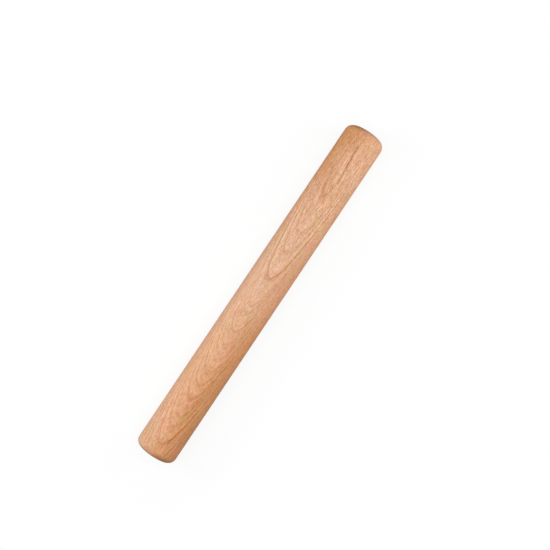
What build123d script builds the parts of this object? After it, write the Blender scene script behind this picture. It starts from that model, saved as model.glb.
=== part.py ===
from build123d import *
import os

# A french rolling pin: one length of beech turned to a plain straight cylinder, with no handles.
# It lies along X on the surface that it rests on. The origin is on that surface, under mid-length.

# Driving dimensions, in millimetres
length = 400
diameter = 45
end_round = 8  # radius of the round-over between the barrel and each flat end

# The round-over takes the same depth off the barrel's length and off the end face's radius
radius = diameter / 2
end_face_radius = radius - end_round
axis_height = radius

# The half profile is drawn in the upright plane through the pin's axis: along, then out from the axis
profile_plane = Plane(origin=(0, 0, axis_height), x_dir=(1, 0, 0), z_dir=(0, -1, 0))
turning_axis = Axis(origin=(0, 0, axis_height), direction=(1, 0, 0))

with BuildPart() as rolling_pin:
    with BuildSketch(profile_plane):
        with BuildLine():
            end_face = Line((length / 2, 0), (length / 2, end_face_radius))
            round_over = JernArc(end_face @ 1, end_face % 1, end_round, 90)
            Line(round_over @ 1, (0, radius))
            mirror(about=Plane.YZ)
            Line((-length / 2, 0), (length / 2, 0))
        make_face()
    revolve(axis=turning_axis)
rolling_pin.part.label = "rolling_pin"

os.makedirs("parts", exist_ok=True)
export_step(rolling_pin.part, "parts/rolling_pin.step")
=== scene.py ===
from math import pi, radians, sin

import bpy
import numpy as np
from mathutils import Matrix, Vector


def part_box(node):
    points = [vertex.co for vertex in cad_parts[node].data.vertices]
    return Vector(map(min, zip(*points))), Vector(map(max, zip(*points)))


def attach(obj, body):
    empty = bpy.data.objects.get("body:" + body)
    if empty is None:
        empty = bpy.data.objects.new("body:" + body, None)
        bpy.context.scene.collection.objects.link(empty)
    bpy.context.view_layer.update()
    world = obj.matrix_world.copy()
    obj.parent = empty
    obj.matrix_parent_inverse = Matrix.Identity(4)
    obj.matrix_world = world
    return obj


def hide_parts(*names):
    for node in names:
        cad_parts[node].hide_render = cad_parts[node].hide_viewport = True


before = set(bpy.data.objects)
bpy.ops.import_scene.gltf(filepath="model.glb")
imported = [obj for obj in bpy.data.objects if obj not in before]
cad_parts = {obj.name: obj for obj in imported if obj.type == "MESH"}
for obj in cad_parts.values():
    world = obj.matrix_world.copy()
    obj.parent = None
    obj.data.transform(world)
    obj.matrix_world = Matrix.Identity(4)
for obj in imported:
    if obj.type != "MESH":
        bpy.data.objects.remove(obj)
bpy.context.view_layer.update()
low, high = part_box("rolling_pin")
pin_middle = (low + high) / 2


# The camera: it hangs over the pin and looks almost straight down, leaning a little along the pin, so
# that the near end is drawn wider. The pin runs across the square picture from lower left to upper right.
picture_pixels = 550
pin_middle_pixel = (261.14, 292.66)
pin_angle = radians(56.2)
camera_lean = radians(2.1)
camera_distance = 0.9
camera_lens_mm = 56.5

camera_data = bpy.data.cameras.new("camera")
camera_data.lens = camera_lens_mm
camera = bpy.data.objects.new("camera", camera_data)
bpy.context.scene.collection.objects.link(camera)
bpy.context.scene.camera = camera

camera_turn = Matrix.Rotation(-camera_lean, 3, "Y") @ Matrix.Rotation(-pin_angle, 3, "Z")
metres_per_pixel = camera_distance * camera_data.sensor_width / camera_lens_mm / picture_pixels
pin_in_camera = Vector((
    (pin_middle_pixel[0] - picture_pixels / 2) * metres_per_pixel,
    (picture_pixels / 2 - pin_middle_pixel[1]) * metres_per_pixel,
    -camera_distance,
))
camera.matrix_world = (
    Matrix.Translation(pin_middle - camera_turn @ pin_in_camera) @ camera_turn.to_4x4()
)


# The pin: one stick of beech, turned to a straight cylinder, its ends cut square and rounded over. It has
# no handles, and its surface is plain sanded wood. The mesh follows the turned profile, from the middle
# of one end face to the middle of the other, and stands for the CAD solid.
end_round = 0.008
pin_radius = (high.z - low.z) / 2
half_length = (high.x - low.x) / 2
columns_around = 192
face_steps, round_steps, barrel_steps = 48, 14, 250


def turned_profile():
    """Distance along the axis and from it, down the half profile: a flat face, a quarter circle, the
    barrel, and the same again mirrored. On the quarter circle at angle a from the face,
    along = half_length - end_round * (1 - cos a) and out = face_radius + end_round * sin a."""
    face_radius = pin_radius - end_round
    face_out = np.linspace(0, face_radius, face_steps, endpoint=False)
    angle = np.linspace(0, pi / 2, round_steps)
    round_along = half_length - end_round * (1 - np.cos(angle))
    round_out = face_radius + end_round * np.sin(angle)
    barrel_along = np.linspace(half_length - end_round, end_round - half_length, barrel_steps)[1:-1]
    end_along = np.concatenate([np.full(face_steps, half_length), round_along])
    end_out = np.concatenate([face_out, round_out])
    along = np.concatenate([end_along, barrel_along, -end_along[::-1]])
    out = np.concatenate([end_out, np.full(len(barrel_along), pin_radius), end_out[::-1]])
    return along, out


def turned_mesh(name, along, out):
    """The profile carried round the X axis through the pin's middle: each point at angle t round the
    axis is (along, out cos t, out sin t). The first and last points are single poles."""
    angle = np.linspace(0, 2 * pi, columns_around, endpoint=False)
    rings = np.stack([
        np.repeat(along[1:-1, None], columns_around, 1),
        out[1:-1, None] * np.cos(angle),
        out[1:-1, None] * np.sin(angle),
    ], -1).reshape(-1, 3)
    points = np.concatenate([rings, [[along[0], 0, 0], [along[-1], 0, 0]]]) + np.array(pin_middle)
    ring_count = len(along) - 2
    start = np.arange(columns_around)
    after = (start + 1) % columns_around
    row = np.arange(ring_count - 1)[:, None] * columns_around
    below = row + columns_around
    quads = np.stack([row + start, below + start, below + after, row + after], -1)
    last_row = (ring_count - 1) * columns_around
    first_pole = np.full(columns_around, len(rings))
    first_cap = np.stack([first_pole, start, after], -1)
    last_cap = np.stack([first_pole + 1, last_row + after, last_row + start], -1)
    mesh = bpy.data.meshes.new(name)
    faces = quads.reshape(-1, 4).tolist() + first_cap.tolist() + last_cap.tolist()
    mesh.from_pydata(points.tolist(), [], faces)
    mesh.polygons.foreach_set("use_smooth", np.ones(len(mesh.polygons), bool))
    return mesh


pin_mesh = turned_mesh("rolling_pin_turned", *turned_profile())
pin = bpy.data.objects.new("rolling_pin_turned", pin_mesh)
bpy.context.scene.collection.objects.link(pin)
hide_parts("rolling_pin")
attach(pin, "root")


class Shade:
    """An output of a node in the material being written. Arithmetic on it adds Math nodes."""

    tree = None

    def __init__(self, socket):
        self.socket = socket

    @classmethod
    def node(cls, kind, inputs, stops=(), **settings):
        """Adds a node: its settings and its curve's stops first, then the values or links of its inputs."""
        added = cls.tree.nodes.new(kind)
        for name, value in settings.items():
            setattr(added, name, value)
        if stops:
            points = added.mapping.curves[0].points
            for number, stop in enumerate(stops):
                point = points[number] if number < len(points) else points.new(*stop)
                point.location = stop
                point.handle_type = "VECTOR"
            added.mapping.update()
        for key, value in inputs.items():
            if isinstance(value, cls):
                cls.tree.links.new(value.socket, added.inputs[key])
            else:
                added.inputs[key].default_value = value
        return cls(added.outputs[0]) if added.outputs else None

    def out(self, key):
        """Another output of the same node."""
        return Shade(self.socket.node.outputs[key])

    def math(self, operation, *others):
        return Shade.node("ShaderNodeMath", dict(enumerate((self, *others))), operation=operation)

    def __add__(self, other):
        return self.math("ADD", other)

    def __sub__(self, other):
        return self.math("SUBTRACT", other)

    def __rsub__(self, other):
        return self.math("MULTIPLY_ADD", -1.0, other)

    def __mul__(self, other):
        return self.math("MULTIPLY", other)

    def __truediv__(self, other):
        return self.math("DIVIDE", other)

    def __pow__(self, other):
        return self.math("POWER", other)

    __radd__ = __add__
    __rmul__ = __mul__

    def clamped(self):
        return Shade.node("ShaderNodeClamp", {"Value": self})

    def step(self, start, end):
        """A smooth step: 0 at start, 1 at end and beyond. The start may be the larger of the two."""
        ends = {"Value": self, "From Min": start, "From Max": end}
        return Shade.node("ShaderNodeMapRange", ends, interpolation_type="SMOOTHSTEP")


def vector(x_part, y_part, z_part):
    return Shade.node("ShaderNodeCombineXYZ", {"X": x_part, "Y": y_part, "Z": z_part})


def noise(place, detail=1.0):
    """Blender's noise at a place, spread to run from about -1 to 1."""
    spread = 3.0
    inputs = {"Vector": place, "Scale": 1.0, "Detail": detail}
    return Shade.node("ShaderNodeTexNoise", inputs) * spread - spread / 2.0


def mix(share, first, second, blend="MIX"):
    """The first colour where the share is 0, the second blended with it where the share is 1. A Mix node
    has a set of sockets for each kind of value, so those for colours are given by number."""
    inputs = {0: share, 6: first, 7: second}
    return Shade.node("ShaderNodeMix", inputs, data_type="RGBA", blend_type=blend).out(2)


def paint(red, green, blue):
    """A colour as a picture file holds it, 0 to 255, as the linear light that a shader takes. The curve
    is that of sRGB: a short straight part near black, then a power."""
    part = np.array([red, green, blue]) / 255
    linear = np.where(part <= 0.04045, part / 12.92, ((part + 0.055) / 1.055) ** 2.4)
    return (*linear.tolist(), 1.0)


beech = bpy.data.materials.new("beech")
beech.use_nodes = True
beech.node_tree.nodes.clear()
Shade.tree = beech.node_tree

# A place in the wood, in millimetres: x along the stick, y across it and h above its axis
millimetres = 1000.0
object_place = Shade.node("ShaderNodeTexCoord", {}).out("Object")
split = Shade.node("ShaderNodeSeparateXYZ", {"Vector": object_place})
x = split.out("X") * millimetres
y = split.out("Y") * millimetres
h = (split.out("Z") - pin_middle.z) * millimetres


def patch(x_middle, y_middle, x_reach, y_reach, slant=0.0):
    """1 at a place on the top, fading to 0 round it and to the underside: e to the power of minus the
    sum of the squares of the distances from its middle, each as a share of its reach. A slant tilts it."""
    along = (x - x_middle) / x_reach
    aside = (y - y_middle - (x - x_middle) * slant) / y_reach
    on_top = h.step(0.0, 10.0)
    return (-1.0 * along ** 2.0 - aside ** 2.0).math("EXPONENT") * on_top


def streaks(length, width, shift=0.0):
    """Noise drawn out along the stick, into streaks of about this length and width."""
    return noise(vector(x / length, y / width, h / width + shift))


# The tree's heart is a straight line that dives away under the stick, so that the year rings, which are
# cylinders round it, leave the top as long arches. Their tips point to the left.
heart_aside, heart_turn = 3.0, 0.015
heart_depth, heart_dive = 36.0, 0.048
across = y + x * heart_turn + heart_aside
above = h + x * heart_dive + heart_depth
from_heart = (across * across + above * above).math("SQRT")

# The rings aren't true cylinders. In the left half the arches are a little pointed and their arms open
# wider, by the square of the distance from their crest. The middle one has a blunt tip.
crest = 2.1
far_opening, far_opening_slope, near_opening = 0.0087, 0.000033, 0.0031
far_arm, near_arm = (y - crest).math("MAXIMUM", 0.0), (crest - y).math("MAXIMUM", 0.0)
opened = (far_opening + far_opening_slope * x) * far_arm ** 2.0 + near_opening * near_arm ** 2.0
opened = x.step(0.0, -60.0) * opened
pointed, blunt = patch(-120.0, 0.5, 75.0, 2.6), patch(20.0, 3.5, 14.0, 4.5)

# To the right the trunk swelled a little, the arches close, and one is pulled in to a dark streak
flank_middle, flank_reach = 2.5, 10.0
flank = 1.0 - (-1.0 * ((y - flank_middle) / flank_reach) ** 2.0).math("EXPONENT")
swell_start, swell_rate = 105.0, 0.00042
swell = (x - swell_start).math("MAXIMUM", 0.0) ** 2.0 * swell_rate
pull_start, flank_pull, far_push = 45.0, 0.006, 0.008
drawn_in = (x - pull_start).math("MAXIMUM", 0.0) * (flank_pull * flank - far_push * y.step(8.0, 14.0))
streak = patch(168.0, -0.9, 26.0, 9.0, slant=0.12)
wave = 0.06 * streaks(14.0, 5.0) + 0.06 * streaks(6.0, 2.0)
ring_place = from_heart + opened - swell - drawn_in - 0.75 * streak - 0.15 * blunt + 0.04 * pointed + wave


def ring_tone(rings, first, last):
    """How pale or dark the year rings leave the wood, from -1 to 1, for radii between first and last.
    Towards a ring's edge the wood darkens, slowly and then to a thin line. Just past the edge it turns
    pale, stays so for a while and fades back to plain. Each ring gives the radius of its edge, how dark
    the edge is, how pale the wood past it, and how far past it the wood stays pale. Each of these steps
    has its own width, which is cut to a share of the gap where the next ring is near."""
    tones = [(first, 0.0)]
    edges = [first] + [ring[0] for ring in rings] + [last]
    for (edge, dark, pale, reach), inner, outer in zip(rings, edges, edges[2:]):
        inside, outside = edge - inner, outer - edge
        slow_start = edge - min(0.6 * dark, 0.35 * inside)
        line_start = edge - min(0.1 + 0.1 * dark, 0.15 * inside)
        pale_start = edge + min(0.12, 0.15 * outside)
        pale_end = edge + min(max(reach, 0.15), 0.6 * outside)
        fade_end = min(pale_end + 0.3, edge + 0.7 * outside)
        tones += [(slow_start, 0.0), (line_start, -0.55 * dark ** 3), (edge, -dark)]
        tones += [(pale_start, 0.8 * pale), (pale_end, pale), (fade_end, 0.2 * pale)]
    tones.append((last, 0.0))
    stops = [((place - first) / (last - first), (1.0 + tone) / 2.0) for place, tone in tones]
    share = ((ring_place - first) / (last - first)).clamped()
    return Shade.node("ShaderNodeFloatCurve", {"Value": share}, stops=stops) * 2.0 - 1.0


# The rings that show on the top lie where the photograph has them. Deeper in are more, nearly down to
# the heart. They are 1.1 to 2.3 millimetres apart and unevenly dark, each by a sine of its radius.
rings = [
    (45.4, 0.6, 0.2, 0.4), (46.9, 0.7, 0.15, 0.3), (48.2, 0.7, 0.3, 0.5), (49.72, 0.75, 0.35, 0.4),
    (50.75, 0.55, 0.2, 0.2), (51.32, 0.4, 0.15, 0.2), (52.37, 0.6, 0.35, 0.3), (53.1, 0.45, 0.2, 0.2),
    (53.82, 0.5, 0.3, 0.3), (54.93, 0.35, 0.15, 0.2), (55.42, 0.25, 0.3, 0.4), (56.28, 0.5, 0.25, 0.3),
    (56.8, 0.2, 0.15, 0.15), (57.25, 0.25, 0.1, 0.2), (57.75, 0.45, 0.3, 0.7), (59.33, 0.8, 0.6, 1.2),
    (60.87, 0.45, 0.4, 0.3), (62.12, 0.3, 0.3, 0.3), (63.2, 0.25, 0.15, 0.5), (64.35, 0.8, 0.15, 0.2),
    (65.3, 0.5, 0.3, 0.3), (66.4, 0.6, 0.4, 0.3), (67.5, 0.5, 0.4, 0.3),
]
deep_edge, innermost = 44.0, 4.0
while deep_edge > innermost:
    rings.insert(0, (deep_edge, 0.65 + 0.35 * sin(5 * deep_edge), 0.4, 0.3))
    deep_edge -= 1.7 + 0.6 * sin(3 * deep_edge)
# A curve holds a limited number of steps, so the rings are shared out over four
bands = (2.0, 24.0, 45.0, 57.0, 69.0)
tone = 0.0
for first, last in zip(bands, bands[1:]):
    tone = ring_tone([ring for ring in rings if first < ring[0] < last], first, last) + tone

# How strongly the rings show: more down the sides than on the top, though only a little more left of the
# middle, and least inside the large arch. Past the last arch there is only the streak. The end faces keep
# all their rings.
barrel_end = (half_length - end_round) * millimetres
end_grain = ((x.math("ABSOLUTE") - barrel_end) / (end_round * millimetres)).clamped() ** 4.0
far_flank = x.step(40.0, 70.0) * y.step(10.0, 14.0)
near_flank = x.step(80.0, 110.0) * y.step(-4.0, -9.0)
inner_arches = patch(72.0, 1.0, 36.0, 7.0)
left_of_middle = patch(-105.0, 0.0, 42.0, 60.0)
strength = 1.0 + 0.3 * streaks(18.0, 4.0) + flank * (1.0 - 0.6 * left_of_middle) + 0.6 * streak
strength = strength + 0.9 * far_flank + 0.7 * near_flank - 0.6 * inner_arches
past_arches = ring_place.step(63.6, 63.0).math("MAXIMUM", y.step(2.0, 6.0))
plain_end = x.step(126.0, 146.0) * past_arches * (1.0 - end_grain)
tone = tone * strength * (1.0 - 0.75 * plain_end)

# Marks beside the streak and the tips of two arches. For each: its middle and its reach along and across
# the stick, its slant, and how pale it is, or below 0 how dark.
marks = [
    (152.0, 1.8, 16.0, 1.5, 0.11, 2.0),
    (176.0, -1.9, 12.0, 1.4, 0.08, 1.6),
    (111.0, -3.6, 10.0, 2.2, 0.1, 0.6),
    (116.0, 2.2, 5.0, 2.4, 0.0, -0.25),
    (-133.0, -3.0, 8.0, 2.0, -0.1, -0.25),
]
for x_middle, y_middle, x_reach, y_reach, slant, paleness in marks:
    tone = tone + paleness * patch(x_middle, y_middle, x_reach, y_reach, slant)
darkened = (tone * -1.0).math("MAXIMUM", 0.0)
lightened = tone.math("MAXIMUM", 0.0) * (1.0 - 0.5 * near_flank)

# Rays: thin brown sheets of cells that stand out from the heart, cut to short dashes on the top,
# to flecks on the sides and to fine lines on the ends. The way round the heart is measured on a circle.
circle_radius = 45.0
around = across.math("ARCTAN2", above) * circle_radius
ray_length, ray_height, ray_shift = 5.0, 20.0, 20.0
ray_place = vector(x / ray_length + ray_shift, around, from_heart / ray_height)
ray_gap = Shade.node("ShaderNodeTexVoronoi", {"Vector": ray_place, "Scale": 1.0, "Randomness": 1.0})
ray_edge, ray_core = 0.42, 0.2
rays = ray_gap.step(ray_edge, ray_core)

# Growth within a ring follows the ring. Fibres and pores run along the stick, and show most in its right
# half and least on the end faces.
growth_length, growth_width, growth_thickness = 60.0, 12.0, 0.22
growth_place = vector(x / growth_length, around / growth_width, ring_place / growth_thickness)
growth = noise(growth_place, detail=2.0)
fibre = streaks(9.0, 0.8)
pores = streaks(2.6, 0.6)
coarse = (0.8 + 0.1 * x.step(-110.0, -150.0) + 0.4 * x.step(0.0, 110.0)) * (1.0 - 0.4 * end_grain)

# The stick is palest right of its middle and turns to honey towards its ends. Across it the honey is
# painted shade: towards its near side at the left end, its far side at the right end, and both flanks.
end_start, end_reach, painted_flank_shade_reach = 60.0, 220.0, 46.0
towards_end = (x - end_start).math("MAXIMUM", 0.0) / end_reach
wood_tone_and_painted_shade = 0.29 + 0.47 * x.step(-115.0, 10.0) - towards_end ** 2.0
# Painted shade: one side darker than the other, swapping sides along the stick, and both flanks darker
painted_side_shade_slope = 0.0145 - 0.00012 * x - 0.009 * x.step(110.0, 150.0)
wood_tone_and_painted_shade = wood_tone_and_painted_shade + y * painted_side_shade_slope - (y / painted_flank_shade_reach) ** 2.0
mottle = 0.1 * streaks(40.0, 9.0) + 0.06 * streaks(13.0, 4.0)
honey_and_painted_shade, pale = paint(219, 156, 108), paint(224, 180, 150)
edge_brown, ray_brown = (0.78, 0.6, 0.48, 1.0), (0.82, 0.72, 0.62, 1.0)
wood = mix((wood_tone_and_painted_shade.clamped() + mottle).clamped(), honey_and_painted_shade, pale)
wood = mix(darkened, wood, edge_brown, blend="MULTIPLY")
wood = mix(rays * 0.5, wood, ray_brown, blend="MULTIPLY")

# Paler and darker cells change the blue most and the red least. The end grain is darker. A strip behind
# the middle of the right end is painted shade. The dark streak is a greyer brown than the rings' edges.
right_end_painted_shade = x.step(110.0, 130.0) * y.step(-4.0, 2.0) * y.step(18.0, 11.0)
paler = 0.02 + 0.16 * lightened + 0.15 * growth + coarse * (0.24 * fibre + 0.42 * pores)
paler = paler - 0.22 * end_grain - 0.05 * right_end_painted_shade
rosy = 0.04 * streaks(13.0, 5.0) + 0.045 * streaks(40.0, 9.0) - 0.05 * darkened * streak
golden = 0.1 * streaks(18.0, 6.0, shift=50.0)
red_share, blue_share = 0.65, 1.35
tint = vector(1.0 + red_share * paler + rosy, 1.0 + paler - rosy, 1.0 + blue_share * paler - golden)
wood = Shade.node("ShaderNodeVectorMath", {0: wood, 1: tint}, operation="MULTIPLY")

# The sanded surface: open pores lie a little below it and the rays stand a little above
pore_depth = 0.00004
sanded_roughness, faint_gloss = 0.6, 0.05
relief = {"Height": 0.5 * fibre + 0.5 * pores + 0.3 * rays, "Strength": 1.0, "Distance": pore_depth}
sanded = {
    "Base Color": wood,
    "Roughness": sanded_roughness + 0.06 * fibre - 0.05 * rays,
    "Normal": Shade.node("ShaderNodeBump", relief),
    "Specular IOR Level": faint_gloss,
}
surface = Shade.node("ShaderNodeBsdfPrincipled", sanded)
Shade.node("ShaderNodeOutputMaterial", {"Surface": surface})
pin.data.materials.append(beech)


# The floor: a white table top. The camera and mirror-like rays see it white, apart from a little of the
# pin's shadow. Its own paint is a mid grey, so that it throws little light back up under the pin.
floor_half = 3.0
corners = np.array([(-1, -1, 0), (1, -1, 0), (1, 1, 0), (-1, 1, 0)]) * floor_half
floor_mesh = bpy.data.meshes.new("floor")
floor_mesh.from_pydata(corners.tolist(), [], [(0, 1, 2, 3)])
floor = bpy.data.objects.new("floor", floor_mesh)
bpy.context.scene.collection.objects.link(floor)


def white_to_the_camera():
    """1 on the rays that the camera, a mirror or glass sends, and 0 on the rays that carry light."""
    ray = Shade.node("ShaderNodeLightPath", {})
    shown = ray.out("Is Camera Ray") + ray.out("Is Glossy Ray") + ray.out("Is Transmission Ray")
    return shown.math("MINIMUM", 1.0)


table_paint = (0.25, 0.25, 0.25, 1.0)
white = (1.0, 1.0, 1.0, 1.0)
white_share = 0.86
shadow_near, shadow_far = 0.03, 0.1
table = bpy.data.materials.new("white_table")
table.use_nodes = True
table.node_tree.nodes.clear()
Shade.tree = table.node_tree
to_camera = white_to_the_camera()
lit = Shade.node("ShaderNodeBsdfDiffuse", {"Color": mix(to_camera, table_paint, white)})
glow = Shade.node("ShaderNodeEmission", {"Color": white, "Strength": 1.0})
floor_place = Shade.node("ShaderNodeTexCoord", {}).out("Object")
floor_split = Shade.node("ShaderNodeSeparateXYZ", {"Vector": floor_place})
beside = floor_split.out("Y")
beyond = (floor_split.out("X").math("ABSOLUTE") - half_length).math("MAXIMUM", 0.0)
from_pin = (beside * beside + beyond * beyond).math("SQRT")
seen_white = white_share + (1.0 - white_share) * from_pin.step(shadow_near, shadow_far)
both = Shade.node("ShaderNodeMixShader", {0: to_camera * seen_white, 1: lit, 2: glow})
Shade.node("ShaderNodeOutputMaterial", {"Surface": both})
floor.data.materials.append(table)


# The light: a large soft panel overhead, a small one low on the left of the picture and one on the
# right, and a faint even surround that fills the shade.
surround_strength = 0.06
world = bpy.data.worlds.new("surround")
bpy.context.scene.world = world
world.use_nodes = True
world.node_tree.nodes.clear()
Shade.tree = world.node_tree
seen_strength = white_to_the_camera() * (1.0 - surround_strength) + surround_strength
background = Shade.node("ShaderNodeBackground", {"Color": white, "Strength": seen_strength})
Shade.node("ShaderNodeOutputWorld", {"Surface": background})

picture_right = camera_turn @ Vector((1, 0, 0))
picture_up = camera_turn @ Vector((0, 1, 0))
# For each panel: metres to the right of the pin's middle, metres towards the picture's top, height,
# width and power
panels = {
    "overhead_panel": (0.0, 0.0, 1.5, 1.6, 19.5),
    "left_panel": (-0.6, 0.19, 0.3, 0.3, 2.4),
    "right_panel": (0.6, 0.0, 0.16, 0.3, 1.8),
}
for name, (rightward, upward, height, width, watts) in panels.items():
    panel = bpy.data.lights.new(name, "AREA")
    panel.size = width
    panel.energy = watts
    lamp = bpy.data.objects.new(name, panel)
    lamp.visible_camera = False
    bpy.context.scene.collection.objects.link(lamp)
    place = pin_middle + picture_right * rightward + picture_up * upward
    place.z = height
    facing = (place - pin_middle).to_track_quat("Z", "Y").to_matrix()
    lamp.matrix_world = Matrix.Translation(place) @ facing.to_4x4()

bpy.context.scene.view_settings.view_transform = "Standard"
